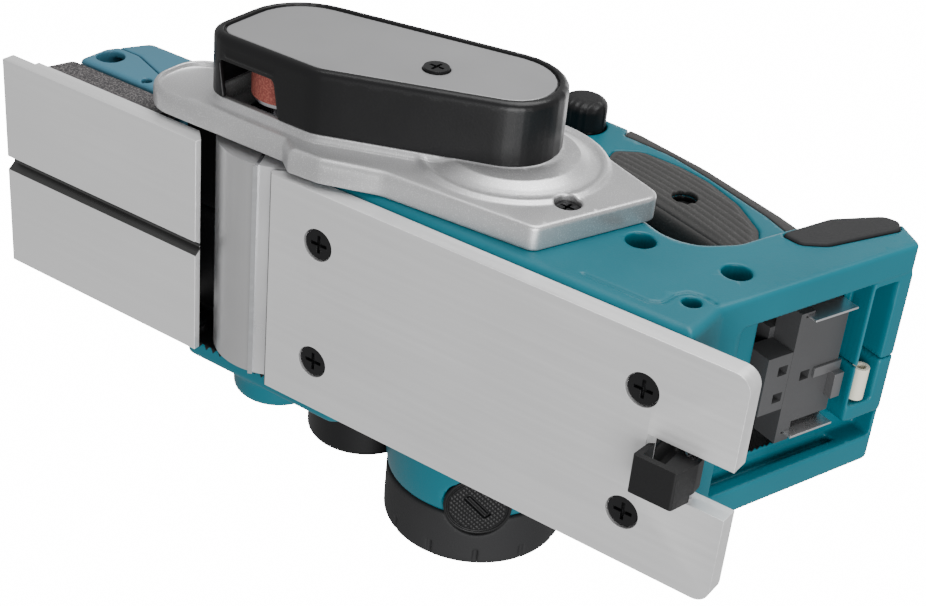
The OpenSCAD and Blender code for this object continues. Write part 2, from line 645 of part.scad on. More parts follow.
module cooling_fan() at_mouth() color([0.15, 0.15, 0.15]) difference() {
    union() {
        rod_x(23, 25, motor_at, 25);
        rod_x(25 - eps, 34, motor_at, 8);
        for (i = [0 : 15]) translate([0, motor_at.x, motor_at.y]) rotate([22.5 * i, 0, 0])
            block([25 - eps, 7.5, -0.6], [33, 24.5, 0.6]);
    }
    rod_x(-far, far, motor_at, motor_shaft_r);
}
module motor_bearings() at_mouth() color("silver") {
    ring_x(-86.5, -80.5, motor_at, motor_shaft_r + run_fit, 9.5);
    ring_x(43.2, 49.7, motor_at, motor_shaft_r + run_fit, bearing_r);
}
module motor_yoke() at_mouth() color([0.4, 0.4, 0.42]) ring_x(-52, 19, motor_at, 25.5, barrel_bore);
module motor_magnets() at_mouth() color([0.25, 0.25, 0.27]) difference() {
    ring_x(-50, 17, motor_at, 19.5, 25.4);
    translate([0, motor_at.x, motor_at.y]) for (i = [0 : 1]) rotate([90 * i + 45, 0, 0])
        block([-60, -40, -2], [30, 40, 2]);
}
module carbon_brushes() at_mouth() color([0.2, 0.2, 0.2]) for (side = [0, 180]) in_brush()
    rotate([side, 0, 0]) block([-3, -4, -20], [3, 4, -11.2]);
module brush_holders() at_mouth() color([0.75, 0.6, 0.3]) for (side = [0, 180]) in_brush()
    rotate([side, 0, 0]) difference() {
        translate([0, 0, -27.5]) cylinder(h = 13.5, r = 7);
        block([-3.1, -4.1, -25], [3.1, 4.1, 0]);
    }
module brush_covers() at_mouth() color([0.08, 0.08, 0.08]) for (side = [0, 180]) in_brush()
    rotate([side, 0, 0]) difference() {
        union() {
            translate([0, 0, -32.4]) cylinder(h = 2.4, r = 11.8);
            translate([0, 0, -30.1]) cylinder(h = 2.4, r = 6.9);
        }
        block([-5.5, -0.9, -34], [5.5, 0.9, -31.2]);
    }

/* ---- Handle: grips, trigger, lock-off, switch ---- */
module grip_pads() at_mouth() color([0.2, 0.2, 0.2]) mirror_pair() difference() {
    profile_x(grip_half - 1.15, grip_half + 0.6, inset(PAD, 0.15));
    rod_x(0, far, [90, 122], 4.6);
}
module grip_back() at_mouth() color([0.22, 0.22, 0.22]) intersection() {
    profile_x(-grip_half, grip_half, inset(GRIP_BACK, 0.15));
    profile_x(-grip_half, grip_half, HANDLE);
    bar_section();
}
module rear_bumpers() at_mouth() color([0.2, 0.2, 0.2]) mirror_pair()
    profile_x(body_half - 2.9, body_half + 0.8, inset(BUMPER, 0.15));
module trigger() at_mouth() color([0.1, 0.1, 0.1]) in_bar() difference() {
    union() {
        along_x(-8, 8) polygon(rounded([[trigger_y0, -27, 4], [trigger_y0 + trigger_l, -24, 4],
            [trigger_y0 + trigger_l, -16, 0], [trigger_y0, -16, 0]]));
        block([-5, trigger_y0 + 7, -17], [5, trigger_y0 + 21, -14.4]);
    }
    translate([0, trigger_y0 + 14, -24]) cylinder(h = 20, r = 3.4);
}
module trigger_spring() at_mouth() color([0.6, 0.6, 0.62]) in_bar()
    translate([0, trigger_y0 + 14, -15.8]) coil(5, 2.4, 9, 0.4);
module switch_body() at_mouth() color([0.18, 0.18, 0.2]) in_bar()
    block([-9, -34, -6], [9, -4, 12]);
module lock_off_button() at_mouth() color([0.06, 0.06, 0.06]) {
    difference() {
        turned_x(lock_at) polygon([[0, 15], [9, 15], [9, 23], [8, 26], [5.5, 28.2], [0, 29]]);
        for (i = [-3 : 3]) block([22, lock_at.x + i * 2.4 - 0.5, far * 0], [30, lock_at.x + i * 2.4 + 0.5,
            lock_at.y - 6.4]);
    }
    rod_x(-17.6, 15 + eps, lock_at, 4);
}

/* ---- Battery bay ---- */
block_depth = 6;
module controller() at_mouth() color([0.1, 0.3, 0.15]) block([-24, 100, 16], [24, 112, 34]);
module terminal_block() at_mouth() color([0.3, 0.3, 0.31]) difference() {
    union() {
        in_bay(67) block([-26, -block_depth - 10, 0], [24, -block_depth, 6]);
        in_bay(57) block([-12, -block_depth - 10, 0], [10, -block_depth, 10.6]);
        in_bay(72.6) block([-19, -block_depth - 10, 0], [21.5, -block_depth, 16]);
        in_bay(67) block([-14, -25.6, -2], [14, -block_depth - 9.9, 12]);
    }
    for (p = [[3.8, 62], [-6.7, 62], [-1, 72]]) in_bay(p[1])
        block([p[0] - 1.8, -block_depth - 6, 0], [p[0] + 1.8, 0, 4]);
    mirror_pair() in_bay(70) block([22.05, -13.05, -1], [22.95, 0, 20]);
}
module blade_terminals() at_mouth() color([0.8, 0.8, 0.8]) mirror_pair()
    in_bay(70) block([22.1, -13, 0], [22.9, -2.6, 18.8]);
module signal_contact() at_mouth() color([0.35, 0.35, 0.36]) in_bay(77)
    union() {
        block([-2.6, -block_depth + 0.05, 0], [1, -block_depth + 1, 12]);
        block([-12, -block_depth + 0.05, 8], [-2.5, -block_depth + 3.2, 12]);
    }
module latch_sleeve() at_mouth() color([0.85, 0.84, 0.78]) in_bay(93.6) difference() {
    translate([-15, -3.2, 2.6]) rotate([0, 90, 0]) cylinder(h = 12, r = 2.9);
    translate([-16, -3.2, 2.6]) rotate([0, 90, 0]) cylinder(h = 14, r = 1.6);
}

/* ---- Foot ---- */
foot_half = 6.75;
module foot() at_mouth() color([0.08, 0.08, 0.08]) difference() {
    profile_x(-foot_half, foot_half, [[146.9, -9, 0.8], [161.6, -9, 1], [164, 0, 3], [163.6, 6.6, 3],
        [157.4, 6.8, 3], [147.6, -1, 1]]);
    block([-4.2, 149.2, -6.8], [10, 156.6, 10]);
    block([-foot_half - 1, 157.2, -1.5], [-4.2, 175, 10]);
    rod_x(0.8, 10, foot_at, 3);
    rod_x(-far, far, foot_at, 1.5 + run_fit);
}
module foot_pin() at_mouth() color([0.7, 0.7, 0.72]) {
    rod_x(-slot_half - 3.5, slot_half + 3.5, foot_at, 1.5);
    rod_x(-slot_half + 0.05, -4.25, foot_at, 2.4);
}
module foot_spring() at_mouth() color([0.6, 0.6, 0.62])
    translate([1.6, foot_at.x, foot_at.y]) rotate([0, 90, 0]) coil(4, 2.2, 4.6, 0.45);

rear_base();
rear_base_screws();
front_base();
front_bracket();
bracket_screws();
front_housing();
front_top_cover();
depth_scale_ring();
depth_knob();
knob_screw();
front_base_spring();
left_frame();
frame_screws();
belt_cover();
cover_panel();
cover_screw();
drive_belt();
drum_pulley();
motor_pulley();
drum_nut();
motor_nut();
cutter_drum();
drum_shaft();
planer_blades();
blade_holders();
blade_bolts();
drum_bearings();
left_shell();
right_shell();
housing_screws();
chip_outlet();
motor_end_bumper();
motor_end_cap();
motor_shaft();
armature();
commutator();
cooling_fan();
motor_bearings();
motor_yoke();
motor_magnets();
carbon_brushes();
brush_holders();
brush_covers();
grip_pads();
grip_back();
rear_bumpers();
trigger();
trigger_spring();
switch_body();
lock_off_button();
controller();
terminal_block();
blade_terminals();
signal_contact();
latch_sleeve();
foot();
foot_pin();
foot_spring();
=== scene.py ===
"""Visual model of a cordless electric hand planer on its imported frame. Metres, row frame."""
import math

import bmesh
import bpy
import numpy as np
import openvdb
from mathutils import Euler, Matrix, Vector


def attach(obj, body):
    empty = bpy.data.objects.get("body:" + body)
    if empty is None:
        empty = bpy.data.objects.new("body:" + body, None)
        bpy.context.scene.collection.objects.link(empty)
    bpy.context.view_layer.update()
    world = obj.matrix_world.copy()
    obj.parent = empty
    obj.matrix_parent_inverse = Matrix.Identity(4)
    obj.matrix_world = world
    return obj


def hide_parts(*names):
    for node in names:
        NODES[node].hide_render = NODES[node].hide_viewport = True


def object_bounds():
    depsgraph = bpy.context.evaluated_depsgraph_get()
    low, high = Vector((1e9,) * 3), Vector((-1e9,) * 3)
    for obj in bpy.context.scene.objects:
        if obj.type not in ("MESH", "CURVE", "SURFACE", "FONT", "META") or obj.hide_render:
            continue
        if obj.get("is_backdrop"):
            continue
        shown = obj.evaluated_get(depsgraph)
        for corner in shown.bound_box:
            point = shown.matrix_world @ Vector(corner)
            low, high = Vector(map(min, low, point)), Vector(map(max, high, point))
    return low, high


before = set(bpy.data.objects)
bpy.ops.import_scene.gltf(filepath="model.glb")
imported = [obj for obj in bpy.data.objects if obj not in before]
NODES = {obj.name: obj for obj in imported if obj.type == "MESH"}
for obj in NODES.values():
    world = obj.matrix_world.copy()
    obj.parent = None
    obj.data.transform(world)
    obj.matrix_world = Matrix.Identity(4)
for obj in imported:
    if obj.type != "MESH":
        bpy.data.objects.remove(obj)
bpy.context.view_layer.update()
MM = 0.001
MOUTH = -87.5          # row-frame y of the rear base's front edge, in mm

# ---------------------------------------------------------------- camera
CAM_AT = (0.3040, 0.2321, -0.3859)
CAM_TURN = (151.831, -34.902, 83.947)      # XYZ Euler angles, in degrees
LENS, SENSOR = 67.94, 36.0                 # mm
CLIP_NEAR, CLIP_FAR = 0.01, 20.0


def camera():
    """The photograph's viewing angle: from below, behind and the belt side."""
    data = bpy.data.cameras.new("photo_camera")
    data.lens = LENS
    data.sensor_width = SENSOR
    data.clip_start = CLIP_NEAR
    data.clip_end = CLIP_FAR
    cam = bpy.data.objects.new("photo_camera", data)
    turn = Euler([math.radians(a) for a in CAM_TURN]).to_matrix().to_4x4()
    cam.matrix_world = Matrix.Translation(CAM_AT) @ turn
    bpy.context.scene.collection.objects.link(cam)
    bpy.context.scene.camera = cam


# ---------------------------------------------------------------- solids as distance fields
def rounded(pts, steps=8):
    """Corner list of (y, z, radius), counter-clockwise, to an outline with arcs."""
    out = []
    n = len(pts)
    for i in range(n):
        a, b, c = (np.array(pts[(i + k) % n][:2], float) for k in (-1, 0, 1))
        r = pts[i][2]
        if r <= 0:
            out.append(b)
            continue
        u, v = (a - b) / np.linalg.norm(a - b), (c - b) / np.linalg.norm(c - b)
        half = math.acos(max(-1, min(1, float(u @ v)))) / 2
        bis = (u + v) / np.linalg.norm(u + v)
        centre = b + bis * r / math.sin(half)
        p, q = b + u * r / math.tan(half) - centre, b + v * r / math.tan(half) - centre
        start = math.atan2(p[1], p[0])
        turn = (math.atan2(q[1], q[0]) - start + 3 * math.pi) % (2 * math.pi) - math.pi
        for k in range(steps + 1):
            t = start + turn * k / steps
            out.append(centre + r * np.array([math.cos(t), math.sin(t)]))
    return np.array(out)


def outline(pts, a, b):
    """Signed distance in the plane (a, b) to a corner list; negative inside."""
    p = rounded(pts)
    q = np.roll(p, -1, 0)
    best = np.full(np.broadcast(a, b).shape, 1e9, np.float32)
    inside = np.zeros(best.shape, bool)
    for (ax, ay), (bx, by) in zip(p, q):
        ex, ey = bx - ax, by - ay
        length = ex * ex + ey * ey
        if length < 1e-12:
            continue
        wx, wy = a - ax, b - ay
        t = np.clip((wx * ex + wy * ey) / length, 0, 1)
        best = np.minimum(best, (wx - ex * t) ** 2 + (wy - ey * t) ** 2)
        if ay != by:
            inside ^= ((ay > b) != (by > b)) & (a < ex * (b - ay) / ey + ax)
    d = np.sqrt(best)
    return np.where(inside, -d, d).astype(np.float32)


def both(d1, d2, r=0.0):
    """Intersection of two fields, its edge rounded by r."""
    qx, qy = d1 + r, d2 + r
    return np.minimum(np.maximum(qx, qy), 0) + np.hypot(np.maximum(qx, 0), np.maximum(qy, 0)) - r


def slab(x, x0, x1):
    """The space between two planes."""
    return np.abs(x - (x0 + x1) / 2) - abs(x1 - x0) / 2


def bar(d2, x, x0, x1, r=0.0):
    """The outline d2 drawn along x from x0 to x1, its end edges rounded by r."""
    return both(d2, slab(x, x0, x1), r)


def join(a, b, r=0.0):
    """Union, its inner corner filled to radius r."""
    if r <= 0:
        return np.minimum(a, b)
    h = np.clip(0.5 + 0.5 * (b - a) / r, 0, 1)
    return b + (a - b) * h - r * h * (1 - h)


def cut(a, b, r=0.0):
    """a without b, its edge rounded by r."""
    return -join(-a, b, r) if r > 0 else np.maximum(a, -b)


def brick(u, v, w, lo, hi, r=0.0):
    """A box between two corners, its edges rounded by r."""
    qs = [slab(c, l, h) + r for c, l, h in zip((u, v, w), lo, hi)]
    top = np.maximum(np.maximum(qs[0], qs[1]), qs[2])
    far = np.sqrt(sum(np.maximum(q, 0) ** 2 for q in qs))
    return np.minimum(top, 0) + far - r


def disc(a, b, at, r):
    """A circle of radius r in the plane (a, b)."""
    return np.hypot(a - at[0], b - at[1]) - r


BAND = 3            # cells kept on each side of a surface
ADAPT = 0.01        # how far flat areas may be merged into larger faces


class Grid:
    """Sample points over a box in mm, in the mouth frame."""

    def __init__(self, lo, hi, step):
        self.lo = np.array(lo, float) - BAND * step
        self.step = step
        n = np.ceil((np.array(hi, float) + BAND * step - self.lo) / step).astype(int) + 1
        ax = [(self.lo[i] + step * np.arange(n[i])).astype(np.float32) for i in range(3)]
        self.x, self.y, self.z = ax[0][:, None, None], ax[1][None, :, None], ax[2][None, None, :]

    def mesh(self, d, name):
        """The field's zero surface as an object in the row frame."""
        d = np.ascontiguousarray(np.broadcast_to(d, np.broadcast(self.x, self.y, self.z).shape),
                                 np.float32)
        band = float(BAND) * self.step
        d = np.clip(d, -band, band)
        grid = openvdb.FloatGrid(band)
        grid.copyFromArray(d)
        pts, tris, quads = grid.convertToPolygons(0.0, ADAPT)
        # shading normals straight from the field
        g = pts.astype(np.float64)
        i0 = np.clip(np.floor(g).astype(int), 1, np.array(d.shape) - 3)
        f = g - i0
        nrm = np.zeros_like(g)
        for k in range(3):
            e = np.zeros(3, int)
            e[k] = 1
            for c in range(8):
                o = np.array([c & 1, c >> 1 & 1, c >> 2 & 1])
                w = np.prod(np.where(o, f, 1 - f), 1)
                a, b = i0 + o + e, i0 + o - e
                nrm[:, k] += w * (d[a[:, 0], a[:, 1], a[:, 2]] - d[b[:, 0], b[:, 1], b[:, 2]])
        nrm /= np.maximum(np.linalg.norm(nrm, axis=1, keepdims=True), 1e-9)
        co = (g * self.step + self.lo + [0, MOUTH, 0]) * MM
        me = bpy.data.meshes.new(name)
        faces = tris.tolist() + quads.tolist()
        me.from_pydata(co.tolist(), [], faces)
        me.validate()
        me.shade_smooth()
        if len(me.vertices) == len(nrm):
            me.normals_split_custom_set_from_vertices(nrm.tolist())
        ob = bpy.data.objects.new(name, me)
        bpy.context.scene.collection.objects.link(ob)
        return ob


# ---------------------------------------------------------------- the planer's outlines, in mm
# The mouth frame has y = 0 at the rear base's front edge. Outlines are (y, z, corner radius).
LEAN = math.radians(21)                             # of the battery bay's face
SIN, COS = math.sin(LEAN), math.cos(LEAN)
SLOPE = math.radians(18.4)                          # of the handle bar
HALF, GRIP = 42.5, 18.0                             # half widths of the body and the handle
FRAME_OUT, COVER_IN, COVER_OUT = 51.0, 54.0, 76.0   # faces of the frame and the cover, along x
# centres on the side wall, as (y, z)
DRUM, MOTOR = (-13.0, 25.0), (61.0, 48.5)
OUTLET, LOCK = (12.4, 44.5), (31.0, 148.0)
PAD_SCREW, BAR_MID = (90, 122), (90, 125.7)
FRAME_SCREWS = ((91, 34.8), (-24, 62.5), (38, 76.3))
COVER_SCREW = (34, 41)
KNOB_Y, KNOB_Z, KNOB_TALL = -85.0, 57, 33
CHAMBER_R = 27.5                                    # the drum's chamber
ROOM_END = -41.6                                    # where the chamber and mouth end, along x
BORE_R, BARREL_R = 28.4, 30.5                       # the motor barrel's bore and outside
RIM_R = 32.6                                        # the end bumper's outside
BRUSH_X, BRUSH_R, BRUSH_LEAN = -67.0, 31, math.radians(34)
BAY_WALL = 2.4                                      # from the bay's pocket to FINGER_GAP
PROUD = 0.55                                        # the side pads' offset, and their ribs' unit
BEYOND = 200                                        # past every surface


def bay_y(z):
    """The battery bay's face at height z."""
    return 150.2 + (z - 26) * math.tan(LEAN)


COVER = [(-38.5, 10.3, 10), (8.3, 10.3, 15), (74.5, 38.4, 18), (74.5, 77.9, 22), (-38.5, 54.9, 24)]
FRAME = [(-63.5, 5.5, 14), (0.5, 6.4, 1.5), (6.5, 1.8, 1.5), (18, 2.6, 8),
         (38, 10, 12), (92.5, 14, 4), (110.5, 60.5, 5), (66, 78.5, 12), (52, 85, 14), (-34, 67, 12),
         (-42, 40, 8), (-63.5, 36, 13)]
BODY = [(-58, 8, 1), (152, 7, 2), (151.5, 26, 1), (bay_y(106), 106, 3), (170.5, 115, 4),
        (164, 115, 6), (151, 100, 6), (136.5, 66, 8), (123, 52, 16), (104, 60, 14), (84, 77, 12),
        (66, 84, 10), (20, 84, 6), (-20, 70, 12), (-58, 58, 4)]
HANDLE = [(30, 60, 2), (130, 40, 2), (168, 90, 2), (166, 114, 6), (146, 128, 14), (122, 138.6, 40),
          (84, 152.2, 60), (52, 160, 14), (28, 162, 14), (14, 150, 10), (16, 96, 16)]
FINGER_GAP = [(58, 90, 7), (84, 78, 12), (104, 61, 14), (123, 53, 15), (136, 64, 12), (144, 86, 9),
              (136, 92.5, 7), (57, 118, 8)]
FRONT = [(-109.5, 24, 2), (-58.2, 24, 1), (-58.2, 53, 1), (-101, 53, 4), (-109.5, 37, 5)]
CHEEK = [(-40, 5, 3), (26, 5, 4), (34, 12, 6), (34, 66, 10), (-20, 66, 12), (-40, 52, 10)]
PAD = [(55, 121.5, 4), (124.5, 98.5, 5), (127.5, 107, 6), (121, 120, 8), (107, 132, 20),
       (91, 140, 30), (77, 143.5, 30), (60, 144, 8), (51.5, 137, 4)]
GRIP_BACK = [(48, 151, 1), (70, 148.8, 30), (88, 143, 30), (118, 131.3, 20), (128, 126, 1),
             (141, 140, 1), (60, 172, 1), (43.5, 168, 1)]
GRIP_CUT = [(48, 151, 1), (70, 148.8, 30), (88, 143, 30), (118, 131.3, 20), (128, 126, 1),
            (144.5, 143.1, 1), (60, 175, 1), (42, 170, 1)]
BUMPER = [(144, 79, 2), (152, 77.5, 4), (159, 83, 6), (172.5, 109.5, 3), (170, 115, 3),
          (164, 115, 6), (151.2, 100, 6)]
TRAY = [(-61.4, 7.8, 12), (-41.5, 7.8, 2), (-41.5, 35.5, 4), (-61.4, 34.2, 11.5)]
# the moulded step round the rear base screw, as (y, z) on the side wall
STEP_LINE = ((110, 14.4), (133.6, 14.4), (136.4, 16.5), (137.2, 23.2), (139.4, 27.2),
             (143.8, 28.1), (148.6, 27.2))


def in_bay(g, z0):
    """Coordinates across, out of and along the leaning battery face from height z0."""
    dy, dz = g.y - bay_y(z0), g.z - z0
    return g.x, dy * COS - dz * SIN, dy * SIN + dz * COS


def bay_brick(g, z0, lo, hi, r=0.0):
    """A box in the leaning bay's own directions."""
    return brick(*in_bay(g, z0), lo, hi, r)


def on_bar(y, z):
    """Distance along the sloping handle bar, and above its centreline."""
    cs, sn = math.cos(SLOPE), math.sin(SLOPE)
    dy, dz = y - BAR_MID[0], z - BAR_MID[1]
    return dy * cs - dz * sn, dy * sn + dz * cs


def handle_field(g):
    """The handle without its finger gap, as a bar with a round section."""
    gap = outline(FINGER_GAP, g.y, g.z)
    return bar(cut(outline(HANDLE, g.y, g.z), gap), g.x, -GRIP, GRIP, 6.0)


def drum_room(g, d):
    """The drum's chamber and the mouth under it, cut out of d."""
    d = cut(d, bar(disc(g.y, g.z, DRUM, CHAMBER_R), g.x, ROOM_END, BEYOND))
    return cut(d, brick(g.x, g.y, g.z, (ROOM_END, -38, -1), (BEYOND, 8, 12)))


def shell_solid(g):
    """The housing's outer form, still solid."""
    y, z = g.y, g.z
    gap = outline(FINGER_GAP, y, z)
    rear = np.clip((y + 0.4 * z - 150) / 20, 0, 1)
    body = bar(outline(BODY, y, z), g.x, -HALF, HALF, 4.0 - 2.4 * rear)
    d = join(body, handle_field(g), 7.0)
    d = cut(d, np.broadcast_to(gap, d.shape), 2.5)
    return d


def shell_cuts(g, d):
    """The bay, rooms, seats and recesses that both shells share, cut out of d."""
    y, z, x = g.y, g.z, g.x
    # battery bay
    pocket = bay_brick(g, 36, (-32, -9, 0), (32, 40, 60), 2)
    pocket = join(pocket, bay_brick(g, 52.5, (-29, -26, 0), (29, 1, 38), 1))
    for s in (-1, 1):
        rail, corner = sorted((31 * s, 35.5 * s)), sorted((22 * s, 32 * s))
        pocket = join(pocket, bay_brick(g, 36, (rail[0], -8, 0), (rail[1], -4, 60), 0.3))
        pocket = join(pocket, bay_brick(g, 88, (corner[0], -9, 0), (corner[1], 40, 18), 1))
    # the pocket keeps clear of FINGER_GAP, but not of the body's outline beside the handle
    pocket = both(pocket, np.broadcast_to(BAY_WALL - outline(FINGER_GAP, y, z), pocket.shape), 0.3)
    d = cut(d, pocket, 0.8)
    ledge = bay_brick(g, 90, (-22, -9.5, 0), (32, -0.01, 17.5), 1)
    d = join(d, ledge)
    d = cut(d, bay_brick(g, 91, (-16, -13, 0), (30, 1, 10), 0.6), 0.6)
    # drum chamber, mouth and the bases' room
    d = drum_room(g, d)
    d = cut(d, brick(x, y, z, (ROOM_END, -60, -1), (BEYOND, -30, 25)))
    d = cut(d, brick(x, y, z, (-8.75, 146.5, 0), (8.75, 190, 22), 1), 0.5)
    # grips, bumpers
    d = cut(d, np.broadcast_to(outline(GRIP_CUT, y, z), d.shape), 0.5)
    for s in (-1, 1):
        side = x * s
        d = cut(d, bar(outline(PAD, y, z), side, GRIP - 1.2, BEYOND), 0.6)
        d = cut(d, bar(outline(BUMPER, y, z), side, HALF - 3, BEYOND), 0.6)
    # lock-off, trigger
    d = cut(d, bar(disc(y, z, LOCK, 4.3), x, -BEYOND, BEYOND))
    d = cut(d, bar(disc(y, z, LOCK, 9.6), x, 9, BEYOND), 0.6)
    along, up = on_bar(y, z)
    d = cut(d, brick(x, along, up, (-8.6, -25, -30), (8.6, 7, -8), 1), 0.5)
    # screw recesses and the motor's bore
    d = cut(d, bar(disc(y, z, PAD_SCREW, 4.6), x, 12, BEYOND), 0.4)
    d = cut(d, bar(disc(y, z, MOTOR, BORE_R - 0.01), x, -86, 36.7))
    d = cut(d, bar(disc(y, z, MOTOR, 16), x, 0, BEYOND))
    return d


def near_line(y, z, line):
    """Distance from a chain of straight runs."""
    best = None
    for (ay, az), (by, bz) in zip(line, line[1:]):
        ly, lz = by - ay, bz - az
        t = np.clip(((y - ay) * ly + (z - az) * lz) / (ly * ly + lz * lz), 0, 1)
        run = np.hypot(y - ay - t * ly, z - az - t * lz)
        best = run if best is None else np.minimum(best, run)
    return best


def left_shell():
    g = Grid((0.05, -58, 6), (42.5, 181.5, 162), 0.7)
    d = shell_cuts(g, shell_solid(g))
    d = cut(d, bar(near_line(g.y, g.z, STEP_LINE) - 0.6, g.x, HALF - 0.7, BEYOND), 0.3)
    for at, r, depth in (((112.9, 44.5), 4.9, 9), ((144.7, 48), 4.8, 9), ((142.8, 22.8), 3.0, 6)):
        d = cut(d, bar(disc(g.y, g.z, at, r), g.x, HALF - depth, BEYOND), 0.5)
    d = both(d, 0.12 - g.x, 0.35)
    return g.mesh(d, "left_shell_skin")


def right_shell():
    g = Grid((-81, -58, 4), (-0.05, 181.5, 162), 0.8)
    x, y, z = g.x, g.y, g.z
    d = shell_cuts(g, shell_solid(g))
    rad = np.hypot(y - MOTOR[0], z - MOTOR[1])
    barrel = bar(rad - BARREL_R, x, -80, -40, 1.5)
    flare = both(rad - (31.9 + 2.2 * np.clip((x + 71.4) / 16, 0, 1) ** 0.5), slab(x, -71.4, -40), 0.8)
    barrel = join(barrel, flare, 2.0)
    d = join(d, barrel, 7.0)
    d = join(d, bar(outline(CHEEK, y, z), x, -49, -40, 3.0), 4.0)
    d = join(d, bar(disc(y, z, DRUM, 16), x, -60, -40, 3.0), 4.0)
    d = cut(d, bar(rad - BORE_R, x, -90, 36.7))
    d = cut(d, bar(disc(y, z, DRUM, 13), x, -57, 0))
    d = drum_room(g, d)
    d = cut(d, bar(disc(y, z, OUTLET, 18.6), x, -BEYOND, -40.5))
    d = cut(d, bar(disc(y, z, OUTLET, 20.9), x, -BEYOND, -49))
    d = cut(d, brush_wells(g))
    d = both(d, x + 0.12, 0.35)
    return g.mesh(d, "right_shell_skin")


def brush_wells(g):
    """The two round wells for the brush covers, one each side of the barrel."""
    cs, sn = math.cos(BRUSH_LEAN), math.sin(BRUSH_LEAN)
    v = (g.y - MOTOR[0]) * cs + (g.z - MOTOR[1]) * sn
    w = -(g.y - MOTOR[0]) * sn + (g.z - MOTOR[1]) * cs
    rad = np.hypot(g.x - BRUSH_X, v)
    return join(both(rad - 12.2, slab(np.abs(w), 30, 50)), both(rad - 7.2, slab(np.abs(w), 15, 40)))


def left_frame():
    g = Grid((HALF, -64, 1.5), (COVER_IN, 111, 86), 0.45)
    x, y, z = g.x, g.y, g.z
    lip = 1.2 + 1.6 * np.clip((60 - y) / 30, 0, 1)
    d = both(bar(outline(FRAME, y, z), x, 36, FRAME_OUT, lip), HALF + 0.05 - x, 0.4)
    d = cut(d, bar(outline(TRAY, y, z), x, 49.0, 60, 0.8), 0.9)
    rad = np.hypot(y - MOTOR[0], z - MOTOR[1])
    rise = np.interp(rad, [0, 22, 23.5, 25.3, 27.4, 28.8, 29.6, 30.9, 31.8, 33],
                     [3.0, 3.0, 2.2, 1.25, 0.65, 0.5, 0.95, 0.95, 0.3, -0.5]).astype(np.float32)
    d = join(d, np.maximum(x - FRAME_OUT - rise, rad - 32.4), 0.5)
    seat = outline(COVER, y, z) + 0.4
    d = join(d, bar(seat, x, 45, COVER_IN), 1.6)
    d = cut(d, bar(seat + 2.6, x, 48, 60))
    for at, r in ((DRUM, 7.0), (MOTOR, 5.0)):
        d = cut(d, bar(disc(y, z, at, r), x, 0, 90))
        d = cut(d, bar(disc(y, z, at, 13.0), x, 0, 50))
    for at in FRAME_SCREWS:
        d = cut(d, bar(disc(y, z, at, 4.4), x, 47, 90), 0.5)
    return g.mesh(d, "left_frame_skin")


def belt_cover():
    g = Grid((COVER_IN, -39, 9.8), (COVER_OUT, 75.5, 74.5), 0.45)
    x, y, z = g.x, g.y, g.z
    rim = outline(COVER, y, z)
    d = both(bar(rim, x, 40, COVER_OUT, 2.4), COVER_IN + 0.05 - x, 0.3)
    d = cut(d, bar(rim + 3.3, x, COVER_OUT - 1.3, 90), 0.5)
    d = cut(d, bar(rim + 2.0, x, 40, 71.6, 1.0))
    window = brick(x, y + 0.18 * (x - 54), z, (40, -28.5, 0), (67.2, -5.5, 19), 1.6)
    d = cut(d, window, 0.6)
    d = join(d, brick(x, y, z, (68.9, -28.0, 9.85), (70.0, -7.5, 12.5), 0.5), 0.5)
    d = cut(d, bar(disc(y, z, COVER_SCREW, 2.2), x, 40, 90))
    return g.mesh(d, "belt_cover_skin")


def cover_panel():
    g = Grid((COVER_OUT - 2.2, -36, 12), (COVER_OUT - 0.4, 73, 72), 0.4)
    x, y, z = g.x, g.y, g.z
    d = bar(outline(COVER, y, z) + 4.0, x, COVER_OUT - 1.7, COVER_OUT - 0.55, 0.35)
    d = cut(d, bar(disc(y, z, COVER_SCREW, 4.7), x, 60, 90), 0.25)
    return g.mesh(d, "cover_panel_skin")


def front_parts():
    g = Grid((-38, -110, 24), (38, -58, 53.2), 0.55)
    x, y, z = g.x, g.y, g.z
    block = bar(outline(FRONT, y, z), x, -38, 38, 2.0)
    block = cut(block, bar(outline(FRONT, y, z) + 2.8, x, -35.2, 35.2, 1))
    block = cut(block, brick(x, y, z, (-35.2, -106.7, 0), (35.2, -61, 27)))
    block = cut(block, np.broadcast_to(np.hypot(x, y - KNOB_Y) - 5.2, block.shape))
    seam = outline([(-130, 41, 0), (-96, 41, 10), (-76, 33, 10), (-40, 33, 0), (-40, 0, 0),
                    (-130, 0, 0)][::-1], y, z)
    low = both(block, seam, 0.6)
    for s in (-1, 1):
        low = cut(low, bar(disc(y, z, (-102.7, 33.2), 5.2), x * s, 33, 80), 0.4)
        low = cut(low, bar(disc(y, z, (-79.5, 27.6), 2.0), x * s, 33, 80), 0.3)
    high = both(block, 0.45 - seam, 0.6)
    return g.mesh(low, "front_housing_skin"), g.mesh(high, "front_top_cover_skin")


def grip_pad(side):
    """A ribbed pad on one side of the handle; side is 1 on the left and -1 on the right."""
    lo, hi = sorted((side * 9.0, side * 18.9))
    g = Grid((lo, 51, 98), (hi, 128, 144.5), 0.45)
    along, up = on_bar(g.y, g.z)
    face = handle_field(g) - PROUD
    ribs = PROUD * np.abs(np.sin(math.pi * (up + 0.02 * along * along / 10) / 3.1)) ** 0.6
    edge = outline(PAD, g.y, g.z) + 0.25
    ribs = ribs * np.clip(-edge / 1.5 - 1.2, 0, 1)
    d = both(face + 0.45 - ribs * 1.5, np.broadcast_to(edge, face.shape), 0.9)
    d = np.maximum(d, -(face + 1.7))
    d = np.maximum(d, 9.5 - g.x * side)
    d = cut(d, bar(disc(g.y, g.z, PAD_SCREW, 4.7), g.x, -80, 80), 0.3)
    return g.mesh(d, "grip_pad_" + ("left" if side > 0 else "right"))


